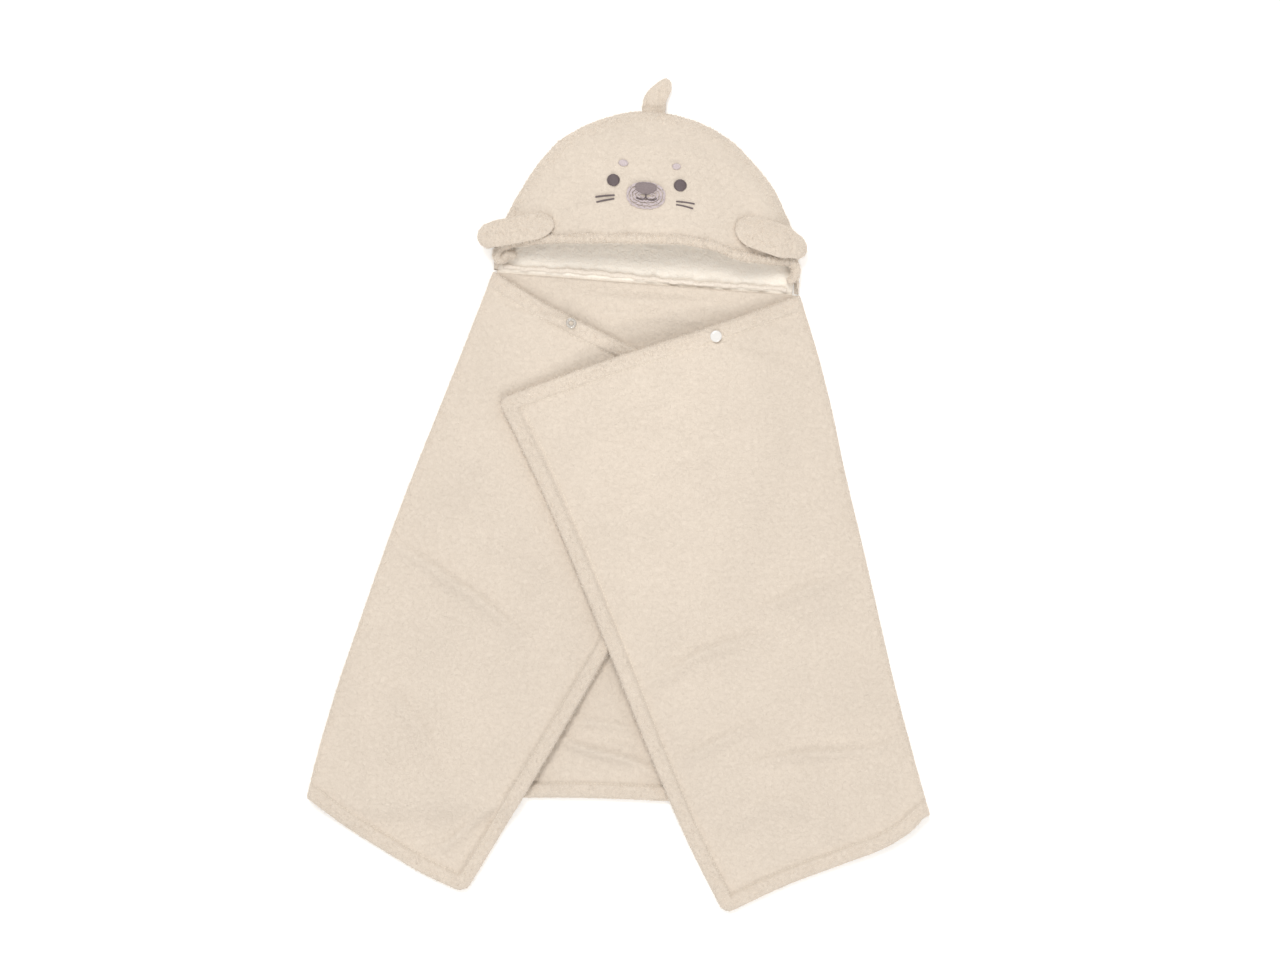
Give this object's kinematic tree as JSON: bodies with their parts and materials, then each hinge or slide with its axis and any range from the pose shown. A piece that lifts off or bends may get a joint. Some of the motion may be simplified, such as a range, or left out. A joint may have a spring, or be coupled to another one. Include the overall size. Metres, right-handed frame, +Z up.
{
  "type": "hooded baby towel",
  "caption": "Pile-cloth baby towel with an animal-face hood, fold-in flippers and snap-closed front flaps, laid flat on its back.",
  "frame": {"origin": "on the surface the towel lies on, under the middle of its back", "axes": "+X to the viewer's right, +Y towards the hood and its tuft, +Z up off the surface"},
  "size_m": [0.6581, 0.8821, 0.0467],
  "materials": {
    "cream_fleece": "long soft pile",
    "fleece_lining": "long soft pile",
    "binding_tape": "woven tape",
    "dark_thread": "satin stitch",
    "lilac_thread": "satin stitch",
    "pearl_plastic": "pearl",
    "clear_plastic": "milky",
    "felt_backing": "felt"
  },
  "bodies": {
    "back": {"towel_back": "cream_fleece", "back_foot_hem": "cream_fleece", "neck_binding": "binding_tape", "left_fold": "cream_fleece", "right_fold": "cream_fleece"},
    "left_front": {"left_front_panel": "cream_fleece", "left_front_foot_hem": "cream_fleece", "left_front_edge_hem": "cream_fleece", "left_front_top_hem": "cream_fleece", "left_snap_cap": "pearl_plastic", "left_snap_stud": "clear_plastic"},
    "right_front": {"right_front_panel": "cream_fleece", "right_front_foot_hem": "cream_fleece", "right_front_edge_hem": "cream_fleece", "right_front_top_hem": "cream_fleece", "right_snap_cap": "pearl_plastic", "right_snap_socket": "clear_plastic"},
    "hood": {"hood_back_panel": "fleece_lining", "hood_face_panel": "cream_fleece", "brim_hem": "cream_fleece", "embroidery_backing": "felt_backing", "left_eye": "dark_thread", "right_eye": "dark_thread", "left_brow": "lilac_thread", "right_brow": "lilac_thread", "muzzle": "lilac_thread", "nose": "dark_thread", "mouth": "dark_thread", "left_upper_whisker": "dark_thread", "left_lower_whisker": "dark_thread", "right_upper_whisker": "dark_thread", "right_lower_whisker": "dark_thread", "left_flipper_root": "cream_fleece", "right_flipper_root": "cream_fleece", "tuft_root": "cream_fleece"},
    "left_flipper": {"left_flipper_inner": "fleece_lining", "left_flipper_outer": "cream_fleece"},
    "right_flipper": {"right_flipper_inner": "fleece_lining", "right_flipper_outer": "cream_fleece"},
    "tuft": {"tuft_back": "cream_fleece", "tuft_front": "cream_fleece"}
  },
  "joints": [
    {"name": "right_front_open", "type": "hinge", "parent": "back", "child": "right_front", "pos_m": [0.321, -0.288, 0.0084], "axis": [-0.2326, 0.9726, 0], "range_deg": [0, 165], "deforming": ["right_fold"]},
    {"name": "left_front_open", "type": "hinge", "parent": "back", "child": "left_front", "pos_m": [-0.324, -0.27, 0.0052], "axis": [-0.3209, -0.9471, 0], "range_deg": [0, 33], "deforming": ["left_fold"]},
    {"name": "hood_raise", "type": "hinge", "parent": "back", "child": "hood", "pos_m": [0.0274, 0.27748, 0.004], "axis": [0.9968, -0.0802, 0], "range_deg": [0, 60]},
    {"name": "left_flipper_fold", "type": "hinge", "parent": "hood", "child": "left_flipper", "pos_m": [-0.14843, 0.31948, 0.01725], "axis": [0.1276, -0.9822, 0.1381], "range_deg": [0, 130]},
    {"name": "right_flipper_fold", "type": "hinge", "parent": "hood", "child": "right_flipper", "pos_m": [0.19373, 0.30644, 0.01395], "axis": [0.2474, 0.9497, -0.1921], "range_deg": [0, 130]},
    {"name": "tuft_fold", "type": "hinge", "parent": "hood", "child": "tuft", "pos_m": [0.03735, 0.45719, 0.0072], "axis": [0.9298, -0.3681, 0], "range_deg": [0, 120]}
  ],
  "couplings": [
    {"joint": "left_front_open", "follows": "right_front_open", "ratio": 0.2}
  ]
}
